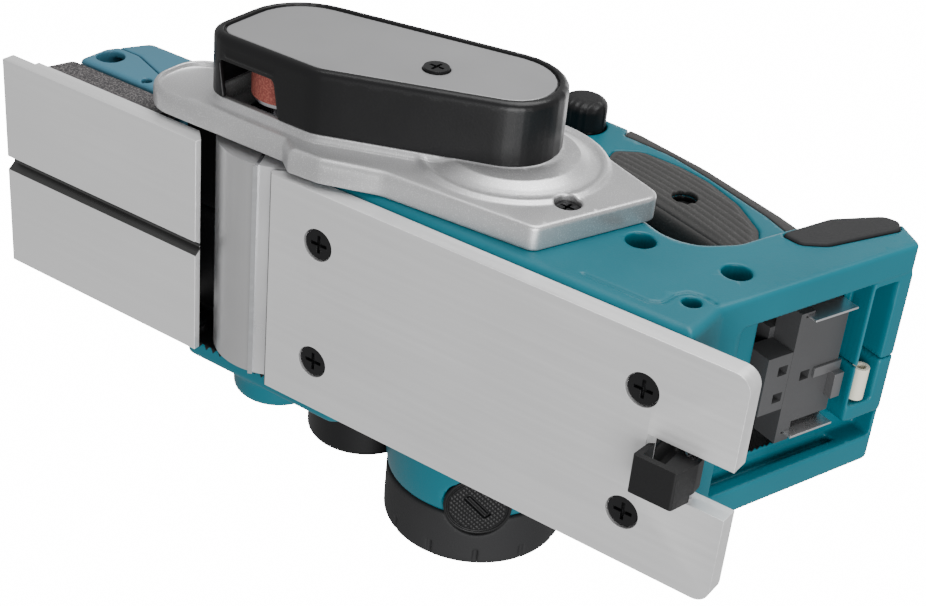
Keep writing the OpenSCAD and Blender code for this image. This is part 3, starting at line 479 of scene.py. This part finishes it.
def grip_strip():
    g = Grid((-18.2, 43, 124), (18.2, 142, 163), 0.5)
    edge = outline(GRIP_BACK, g.y, g.z) + 0.3
    d = both(handle_field(g), np.broadcast_to(edge, np.broadcast(g.x, g.y, g.z).shape), 0.9)
    return g.mesh(d, "grip_strip")


def rear_bumper(side):
    lo, hi = sorted((side * 34.0, side * 43.4))
    g = Grid((lo, 143, 76), (hi, 173.5, 116), 0.45)
    body = bar(outline(BODY, g.y, g.z), g.x, -HALF, HALF, 2.2) - 0.7
    d = both(body, np.broadcast_to(outline(BUMPER, g.y, g.z) + 0.3, body.shape), 1.0)
    d = np.maximum(d, HALF - 2.9 - g.x * side)
    return g.mesh(d, "rear_bumper_" + ("left" if side > 0 else "right"))


def chip_outlet():
    g = Grid((-76, -9, 23), (-40, 34, 66), 0.55)
    x, y, z = g.x, g.y, g.z
    rad = disc(y, z, OUTLET, 0)
    d = join(bar(rad - 20.6, x, -76, -49.1, 1.6), bar(rad - 18.4, x, -52, -42.7))
    d = cut(d, bar(rad - 15.5, x, -90, -38), 1.2)
    d = cut(d, bar(disc(y, z, DRUM, 16.3), x, -60.3, 0))
    d = cut(d, bar(disc(y, z, MOTOR, 33.2), x, -90, 0))
    return g.mesh(d, "chip_outlet_skin")


def motor_bumper():
    g = Grid((-93, 28, 15.5), (-66, 94, 81.5), 0.6)
    x, y, z = g.x, g.y, g.z
    rad = disc(y, z, MOTOR, 0)
    # a tube with a rounded end lip, stepping down to the hole in its end wall
    d = bar(rad - RIM_R, x, -93, -72.1, 1.0)
    d = np.maximum(d, bar(rad - RIM_R, x, -93, -60, 3.4))
    d = cut(d, bar(rad - 28.9, x, -80.2, -60))
    d = cut(d, bar(rad - 27.2, x, -88.5, -60))
    d = cut(d, bar(rad - 23.6, x, -100, -60), 1.2)
    notches = 12
    for k in range(notches):
        t = 2 * math.pi * k / notches + 0.1
        v = (y - MOTOR[0]) * math.cos(t) + (z - MOTOR[1]) * math.sin(t)
        w = -(y - MOTOR[0]) * math.sin(t) + (z - MOTOR[1]) * math.cos(t)
        d = cut(d, brick(x, v, w, (-95, 31.4, -0.9), (-85.5, 40, 0.9), 0.3), 0.3)
    d = cut(d, brush_wells(g), 0.4)
    return g.mesh(d, "motor_end_bumper_skin")


def brush_cover(side):
    """A knurled screw cap with a coin slot; side is 1 below the barrel and -1 above it."""
    cs, sn = math.cos(BRUSH_LEAN), math.sin(BRUSH_LEAN)
    cy = MOTOR[0] + side * BRUSH_R * sn
    cz = MOTOR[1] - side * BRUSH_R * cs
    g = Grid((-80, cy - 13, cz - 13), (-54, cy + 13, cz + 13), 0.32)
    v = (g.y - MOTOR[0]) * cs + (g.z - MOTOR[1]) * sn
    w = side * ((g.y - MOTOR[0]) * sn - (g.z - MOTOR[1]) * cs)
    u = g.x - BRUSH_X
    rad = np.hypot(u, v)
    d = both(rad - 11.8, slab(w, 30, 32.3), 0.6)
    d = join(d, both(rad - 6.9, slab(w, 27.7, 31)))
    d = cut(d, both(np.abs(rad - 10.3) - 0.35, slab(w, 31.8, 40)), 0.2)
    knurl = 0.25 * (np.sin(math.pi * u / 0.95) * np.sin(math.pi * v / 0.95) > -0.2)
    d = np.where((rad < 9.7) & (w > 31), np.maximum(d, w - 32.0 - knurl), d)
    su, sv = (v - u) / math.sqrt(2), (u + v) / math.sqrt(2)
    slot = brick(su, sv, w, (-5.6, -1.5, 31.0), (5.6, 1.5, 40), 0.5)
    d = join(cut(d, slot, 0.2), brick(su, sv, w, (-4.9, -0.6, 30), (4.9, 0.6, 31.9), 0.3))
    return g.mesh(d, "brush_cover_" + ("lower" if side > 0 else "upper"))


def depth_knob():
    g = Grid((-24.5, KNOB_Y - 24.5, KNOB_Z), (24.5, KNOB_Y + 24.5, KNOB_Z + KNOB_TALL), 0.5)
    x, y, z = g.x, g.y - KNOB_Y, g.z - KNOB_Z
    rad = np.hypot(x, y)
    ang = np.arctan2(y, x)
    d = both(rad - 24 - np.interp(z, [0, 20, 27, 33], [0, 0, -1.5, -6]).astype(np.float32),
             slab(z, 0, KNOB_TALL), 3.0)
    flute = 0.9 * (0.5 + 0.5 * np.cos(24 * ang)) * np.clip((25 - z) / 3, 0, 1)
    d = d + flute * np.clip((rad - 18) / 3, 0, 1)
    d = cut(d, both(rad - 4.05, slab(z, -5, 20)))
    d = cut(d, both(np.abs(rad - 15) - 0.5, slab(z, 31.8, 40)), 0.3)
    return g.mesh(d, "depth_knob_skin")


def lock_button():
    g = Grid((-18, 20, 137), (29, 42, 159), 0.35)
    x, y, z = g.x, g.y - LOCK[0], g.z - LOCK[1]
    rad = np.hypot(y, z)
    dome = both(rad - 9, slab(x, 15, 29), 3.5)
    ribs = 0.4 * np.abs(np.sin(math.pi * y / 2.6)) * (z < 0) * np.clip((rad - 4) / 2, 0, 1)
    d = dome + ribs * (x > 18)
    d = join(d, both(rad - 4.0, slab(x, -17.6, 16)))
    return g.mesh(d, "lock_off_skin")


# ---------------------------------------------------------------- finishes
CLOUD = 24.0            # scale of the slow change of colour and roughness
BUMP_DEPTH = 0.0003     # metres


def finish_of(name, color, rough=0.5, metal=0.0, grain=900.0, bump=0.12, var=0.10, spec=0.5,
              fleck=None, stretch=None, edge_highlight=0.0):
    """A procedural finish: cloudy colour and roughness, fine grain bump, optional flecks
    (colour, amount), brushing along one axis and a painted highlight that makes convex edges paler."""
    m = bpy.data.materials.new(name)
    m.use_nodes = True
    nt = m.node_tree
    b = nt.nodes["Principled BSDF"]
    where = nt.nodes.new("ShaderNodeTexCoord")
    source = where.outputs["Object"]

    def noise(scale, detail, src=source):
        n = nt.nodes.new("ShaderNodeTexNoise")
        n.inputs["Scale"].default_value = scale
        n.inputs["Detail"].default_value = detail
        n.inputs["Roughness"].default_value = 0.5
        nt.links.new(src, n.inputs["Vector"])
        return n.outputs["Fac"]

    def remap(src, lo, hi, from_lo=0.0, from_hi=1.0):
        r = nt.nodes.new("ShaderNodeMapRange")
        r.inputs["From Min"].default_value = from_lo
        r.inputs["From Max"].default_value = from_hi
        r.inputs["To Min"].default_value = lo
        r.inputs["To Max"].default_value = hi
        nt.links.new(src, r.inputs["Value"])
        return r.outputs["Result"]

    def mix(fac, first, second):
        x = nt.nodes.new("ShaderNodeMixRGB")
        nt.links.new(fac, x.inputs[0])
        for i, v in ((1, first), (2, second)):
            if isinstance(v, tuple):
                x.inputs[i].default_value = (*v, 1)
            else:
                nt.links.new(v, x.inputs[i])
        return x.outputs[0]

    cloud = noise(CLOUD, 4.0)
    dark = tuple(c * (1 - var) for c in color)
    pale = tuple(min(1.0, c * (1 + var)) for c in color)
    tint = mix(remap(cloud, 0, 1, 0.3, 0.7), dark, pale)
    if fleck:
        spots = remap(noise(grain * 1.3, 1.0), 0, 1, 1 - fleck[1] - 0.06, 1 - fleck[1])
        tint = mix(spots, tint, fleck[0])
    # painted highlight: convex edges, found from Pointiness, are mixed towards a paler copy of the
    # colour
    if edge_highlight:
        edge = nt.nodes.new("ShaderNodeNewGeometry")
        painted_highlight_mask = remap(edge.outputs["Pointiness"], 0, edge_highlight, 0.53, 0.60)
        tint = mix(painted_highlight_mask, tint, tuple(min(1.0, c * 1.6 + 0.04) for c in color))
    nt.links.new(tint, b.inputs["Base Color"])
    src = source
    if stretch:
        mp = nt.nodes.new("ShaderNodeMapping")
        mp.inputs["Scale"].default_value = stretch
        nt.links.new(source, mp.inputs["Vector"])
        src = mp.outputs["Vector"]
    fine = noise(grain, 3.0, src)
    nt.links.new(remap(fine if stretch else cloud, max(0.03, rough - 0.06),
                       min(1.0, rough + 0.06), 0.3, 0.7), b.inputs["Roughness"])
    bm = nt.nodes.new("ShaderNodeBump")
    bm.inputs["Strength"].default_value = bump
    bm.inputs["Distance"].default_value = BUMP_DEPTH
    nt.links.new(fine, bm.inputs["Height"])
    nt.links.new(bm.outputs["Normal"], b.inputs["Normal"])
    b.inputs["Metallic"].default_value = metal
    b.inputs["Specular IOR Level"].default_value = spec
    return m


TEAL = (0.003, 0.122, 0.163)
# edge_highlight sets how strongly each finish gets a painted highlight on its convex edges
FINISH = {
    "teal": dict(color=TEAL, rough=0.40, grain=1500, bump=0.10, var=0.06, spec=0.30, edge_highlight=0.25),
    "teal_front": dict(color=(0.050, 0.168, 0.240), rough=0.40, grain=1500, bump=0.10, var=0.06,
                       spec=0.35, edge_highlight=0.25),
    "sole": dict(color=(0.84, 0.84, 0.845), rough=0.42, metal=0.75, grain=500, bump=0.02, var=0.03,
                 stretch=(1.0, 0.02, 1.0), edge_highlight=0.9),
    "cast": dict(color=(0.56, 0.56, 0.565), rough=0.40, metal=0.8, grain=1900, bump=0.16, var=0.05,
                 fleck=((0.72, 0.72, 0.725), 0.36), edge_highlight=0.4),
    "bracket": dict(color=(0.030, 0.028, 0.030), rough=0.6, metal=0.0, grain=1300, bump=0.5,
                    var=0.15, fleck=((0.14, 0.13, 0.13), 0.42)),
    "gloss_black": dict(color=(0.0045, 0.0045, 0.005), rough=0.34, grain=1300, bump=0.10, var=0.1,
                        spec=0.32, edge_highlight=0.25),
    "panel": dict(color=(0.30, 0.30, 0.305), rough=0.40, metal=0.35, grain=1600, bump=0.08, var=0.04),
    "black": dict(color=(0.005, 0.005, 0.0055), rough=0.45, grain=1300, bump=0.14, var=0.12,
                  spec=0.28, edge_highlight=0.2),
    "rubber": dict(color=(0.020, 0.020, 0.021), rough=0.65, grain=1300, bump=0.25, var=0.12, spec=0.25),
    "grip": dict(color=(0.045, 0.044, 0.043), rough=0.7, grain=1400, bump=0.4, var=0.12, spec=0.3,
                 fleck=((0.075, 0.073, 0.071), 0.30)),
    "screw": dict(color=(0.014, 0.014, 0.015), rough=0.30, metal=0.6, grain=700, bump=0.05, var=0.15),
    "steel": dict(color=(0.55, 0.55, 0.57), rough=0.28, metal=1.0, grain=600, bump=0.04, var=0.05,
                  stretch=(0.03, 1.0, 1.0)),
    "blade": dict(color=(0.75, 0.76, 0.78), rough=0.2, metal=1.0, grain=600, bump=0.03, var=0.04,
                  stretch=(1.0, 0.1, 0.1)),
    "drum": dict(color=(0.58, 0.58, 0.585), rough=0.36, metal=0.85, grain=700, bump=0.05, var=0.05,
                 stretch=(0.03, 1.0, 1.0)),
    # groove: a dark metal used as painted shade in the front base's groove and as painted shadow along
    # the mouth edge
    "groove": dict(color=(0.10, 0.10, 0.10), rough=0.30, metal=0.9, grain=700, bump=0.05, var=0.10,
                   stretch=(1.0, 0.03, 1.0)),
    "holder": dict(color=(0.80, 0.80, 0.81), rough=0.33, metal=0.8, grain=700, bump=0.05, var=0.04),
    "belt": dict(color=(0.16, 0.030, 0.022), rough=0.6, grain=1200, bump=0.3, var=0.2,
                 fleck=((0.26, 0.07, 0.05), 0.45)),
    "ivory": dict(color=(0.72, 0.69, 0.56), rough=0.4, grain=1200, bump=0.06, var=0.05),
    "block": dict(color=(0.055, 0.055, 0.057), rough=0.5, grain=1400, bump=0.15, var=0.1),
    "terminal": dict(color=(0.72, 0.72, 0.73), rough=0.3, metal=0.9, grain=700, bump=0.05, var=0.06),
    "contact": dict(color=(0.20, 0.20, 0.205), rough=0.35, metal=0.7, grain=700, bump=0.05, var=0.06),
    "copper": dict(color=(0.50, 0.26, 0.13), rough=0.35, metal=1.0, grain=900, bump=0.2, var=0.1),
    "board": dict(color=(0.02, 0.09, 0.04), rough=0.5, grain=900, bump=0.2, var=0.15),
}
_made = {}


def made(finish):
    """The named finish's material, made once."""
    if finish not in _made:
        _made[finish] = finish_of(finish, **FINISH[finish])
    return _made[finish]


def skin(ob, finish):
    """One finish over the whole object."""
    ob.data.materials.clear()
    ob.data.materials.append(made(finish))


def place(ob, finish, body, node):
    """A finished piece standing for a CAD node."""
    skin(ob, finish)
    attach(ob, body)
    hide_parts(node)
    return ob


def overlaid(ob, inside, finish):
    """A further finish on the faces whose centre, in mm in the mouth frame, lies inside a region."""
    me = ob.data
    me.materials.append(made(finish))
    mid = np.empty(len(me.polygons) * 3)
    me.polygons.foreach_get("center", mid)
    mid = mid.reshape(-1, 3) / MM
    mid[:, 1] -= MOUTH
    index = np.empty(len(me.polygons), np.int32)
    me.polygons.foreach_get("material_index", index)
    index[inside(mid[:, 0], mid[:, 1], mid[:, 2])] = len(me.materials) - 1
    me.polygons.foreach_set("material_index", index)


def under_grip(x, y, z):
    """The handle bar's lower face, where the soft grip wraps round to the fingers."""
    along, up = on_bar(y, z)
    return (up < -13.9) & (up > -20.5) & (along > -34) & (along < 44) & (np.abs(x) < 18.3)


def groove_painted_shade(x, y, z):
    """The V groove along the front base and the bevels of its edges, painted dark to stand for the
    shade in the groove.
    """
    return (np.abs(x) < 2.9) & (z > 0.05) & (z < 3.3)


def mouth_edge_painted_shadow(x, y, z):
    """The rear base's chamfer along the mouth, painted dark to stand for the drum's shadow."""
    return (y < 1.4) & (z < 5.0)


def hollows_painted_shade(x, y, z):
    """The drum's chamber and mouth, the bay's depth, the pad screw's recess, the foot's slot
    and the space under the nose, where black stands for painted shade.
    The bay's part also takes in some faces on the finger gap's side of the wall."""
    drum = (np.hypot(y - DRUM[0], z - DRUM[1]) < 28.6) & (np.abs(x) < 42.2)
    mouth = (y > -61.5) & (y < 10) & (z < 26) & (np.abs(x) < 42.3)
    recess = (disc(y, z, PAD_SCREW, 5.0) < 0) & (np.abs(x) < 17.9)
    out = (y - bay_y(52.5)) * COS - (z - 52.5) * SIN
    up = (y - bay_y(52.5)) * SIN + (z - 52.5) * COS
    deep = (out < -9.6) & (out > -27) & (np.abs(x) < 29.6) & (up > 1.2) & (up < 39)
    slot = (np.abs(x) < 9.2) & (y > 146) & (z < 22.4)
    nose = (y < -40) & (z < 34) & (x > 30)
    return drum | mouth | deep | recess | slot | nose


MERGE = 2e-6                            # metres between points taken as one
FLAT = math.radians(0.6)                # facets that meet at less than this are merged
BEVEL_FROM = math.radians(25)           # edges sharper than this are rounded
SHADE_FROM, CAD_SHADE_FROM = math.radians(32), math.radians(30)


def softened(node, finish, width, body):
    """The CAD node drawn again with its coplanar facets merged and its edges rounded."""
    src = NODES[node]
    bm = bmesh.new()
    bm.from_mesh(src.data)
    bmesh.ops.remove_doubles(bm, verts=bm.verts, dist=MERGE)
    bmesh.ops.dissolve_limit(bm, angle_limit=FLAT, verts=bm.verts, edges=bm.edges)
    sharp = [e for e in bm.edges if e.is_manifold and e.calc_face_angle(0) > BEVEL_FROM]
    bmesh.ops.bevel(bm, geom=sharp, offset=width * MM, offset_type="OFFSET", segments=2,
                    profile=0.5, affect="EDGES", clamp_overlap=True)
    me = bpy.data.meshes.new(node + "_soft")
    bm.to_mesh(me)
    bm.free()
    ob = bpy.data.objects.new(node + "_soft", me)
    bpy.context.scene.collection.objects.link(ob)
    me.shade_smooth()
    me.set_sharp_from_angle(angle=SHADE_FROM)
    mod = ob.modifiers.new("normals", "WEIGHTED_NORMAL")
    mod.keep_sharp = True
    return place(ob, finish, body, node)


# ---------------------------------------------------------------- the pieces
camera()
for shell, node in ((left_shell, "left_shell"), (right_shell, "right_shell")):
    half = place(shell(), "teal", "housing", node)
    # the black finish in the hollows is painted shade
    overlaid(half, hollows_painted_shade, "black")
    overlaid(half, under_grip, "grip")
place(left_frame(), "cast", "housing", "left_frame")
place(belt_cover(), "gloss_black", "housing", "belt_cover")
place(cover_panel(), "panel", "housing", "cover_panel")
low, high = front_parts()
place(low, "teal_front", "housing", "front_housing")
place(high, "teal_front", "housing", "front_top_cover")
for side in (1, -1):
    place(grip_pad(side), "grip", "housing", "grip_pads")
    place(rear_bumper(side), "rubber", "housing", "rear_bumpers")
    place(brush_cover(side), "black", "housing", "brush_covers")
place(grip_strip(), "grip", "housing", "grip_back")
place(chip_outlet(), "black", "housing", "chip_outlet")
place(motor_bumper(), "rubber", "housing", "motor_end_bumper")
place(depth_knob(), "black", "depth_control", "depth_knob")
place(lock_button(), "black", "lock_off", "lock_off_button")

# body: {CAD node: (finish, edge radius in mm)}
# The foot is an open fault: its CAD node is on park_foot, and its piece here rides on housing.
SOFT = {
    "housing": {
        "rear_base_screws": ("screw", 0.12), "foot": ("black", 0.5),
        "terminal_block": ("block", 0.3), "latch_sleeve": ("ivory", 0.2),
        "frame_screws": ("screw", 0.12), "cover_screw": ("screw", 0.12),
        "housing_screws": ("screw", 0.12), "motor_end_cap": ("black", 0.3),
        "depth_scale_ring": ("black", 0.15), "switch_body": ("block", 0.4),
        "controller": ("board", 0.4), "drum_bearings": ("steel", 0.2),
        "motor_bearings": ("steel", 0.2), "blade_terminals": ("terminal", 0.1),
        "signal_contact": ("contact", 0.1), "foot_pin": ("steel", 0.15),
        "rear_base": ("sole", 0.35),
    },
    "front_shoe": {
        "front_base": ("sole", 0.35), "front_bracket": ("bracket", 0.6),
        "bracket_screws": ("screw", 0.12),
    },
    "cutter": {
        "cutter_drum": ("drum", 0.25), "blade_holders": ("holder", 0.25),
        "planer_blades": ("blade", 0.05), "blade_bolts": ("screw", 0.1),
        "drum_shaft": ("steel", 0.3),
    },
    "trigger_lever": {"trigger": ("black", 0.8)},
}
soft = {}
for body, nodes in SOFT.items():
    for node, (look, radius) in nodes.items():
        soft[node] = softened(node, look, radius, body)
# painted shadow: the dark groove finish along the rear base's mouth edge
overlaid(soft["rear_base"], mouth_edge_painted_shadow, "groove")
# painted shade: the dark groove finish inside the front base's V groove
overlaid(soft["front_base"], groove_painted_shade, "groove")

# CAD nodes that stay, with a better finish
KEPT = {
    "drive_belt": "belt", "drum_pulley": "steel", "motor_pulley": "steel", "drum_nut": "steel",
    "motor_nut": "steel", "motor_shaft": "steel", "armature": "copper", "commutator": "copper",
    "cooling_fan": "black", "motor_yoke": "steel", "motor_magnets": "block",
    "carbon_brushes": "block", "brush_holders": "copper", "trigger_spring": "steel",
    "foot_spring": "steel", "front_base_spring": "steel", "knob_screw": "steel",
}
for node, look in KEPT.items():
    skin(NODES[node], look)
    NODES[node].data.shade_smooth()
    NODES[node].data.set_sharp_from_angle(angle=CAD_SHADE_FROM)

# ---------------------------------------------------------------- floor and light
FLOOR_HALF = 6.0
AIM = (0, -0.02, 0.06)
SOFT_LIGHT, BACKDROP = 0.52, 16.0
# name: (place, size, power)
LIGHTS = {
    "under": ((0.05, 0.75, -0.75), 0.8, 16),
    "side": ((0.95, 0.1, 0.25), 0.8, 12),
    "above": ((-0.2, -0.2, 1.2), 1.0, 6),
}


def floor():
    """A pale one-sided floor: solid from above, clear from below, where the camera is."""
    me = bpy.data.meshes.new("floor")
    s, z = FLOOR_HALF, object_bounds()[0].z
    me.from_pydata([(-s, -s, z), (s, -s, z), (s, s, z), (-s, s, z)], [], [(0, 1, 2, 3)])
    ob = bpy.data.objects.new("floor", me)
    bpy.context.scene.collection.objects.link(ob)
    m = bpy.data.materials.new("floor")
    m.use_nodes = True
    nt = m.node_tree
    b = nt.nodes["Principled BSDF"]
    b.inputs["Base Color"].default_value = (0.9, 0.9, 0.9, 1)
    b.inputs["Roughness"].default_value = 0.8
    clear = nt.nodes.new("ShaderNodeBsdfTransparent")
    geo = nt.nodes.new("ShaderNodeNewGeometry")
    mix = nt.nodes.new("ShaderNodeMixShader")
    nt.links.new(geo.outputs["Backfacing"], mix.inputs[0])
    nt.links.new(b.outputs[0], mix.inputs[1])
    nt.links.new(clear.outputs[0], mix.inputs[2])
    nt.links.new(mix.outputs[0], nt.nodes["Material Output"].inputs["Surface"])
    me.materials.append(m)
    ob.visible_glossy = False
    ob.visible_diffuse = False
    ob.visible_transmission = False
    ob.visible_shadow = False
    ob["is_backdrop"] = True


def area(name, at, size, power):
    """A square soft light aimed at the part."""
    d = bpy.data.lights.new(name, "AREA")
    d.shape = "SQUARE"
    d.size = size
    d.energy = power
    o = bpy.data.objects.new(name, d)
    o.location = at
    o.rotation_euler = (Vector(AIM) - Vector(at)).to_track_quat("-Z", "Y").to_euler()
    bpy.context.scene.collection.objects.link(o)


def studio():
    """An even soft surround that lights the part, in front of a plain white backdrop."""
    world = bpy.data.worlds.new("studio")
    world.use_nodes = True
    nt = world.node_tree
    soft = nt.nodes["Background"]
    soft.inputs[0].default_value = (1, 1, 1, 1)
    soft.inputs[1].default_value = SOFT_LIGHT
    white = nt.nodes.new("ShaderNodeBackground")
    white.inputs[0].default_value = (1, 1, 1, 1)
    white.inputs[1].default_value = BACKDROP
    ray = nt.nodes.new("ShaderNodeLightPath")
    mix = nt.nodes.new("ShaderNodeMixShader")
    nt.links.new(ray.outputs["Is Camera Ray"], mix.inputs[0])
    nt.links.new(soft.outputs[0], mix.inputs[1])
    nt.links.new(white.outputs[0], mix.inputs[2])
    nt.links.new(mix.outputs[0], nt.nodes["World Output"].inputs["Surface"])
    bpy.context.scene.world = world


floor()
for name, (at, size, power) in LIGHTS.items():
    area(name, at, size, power)
studio()
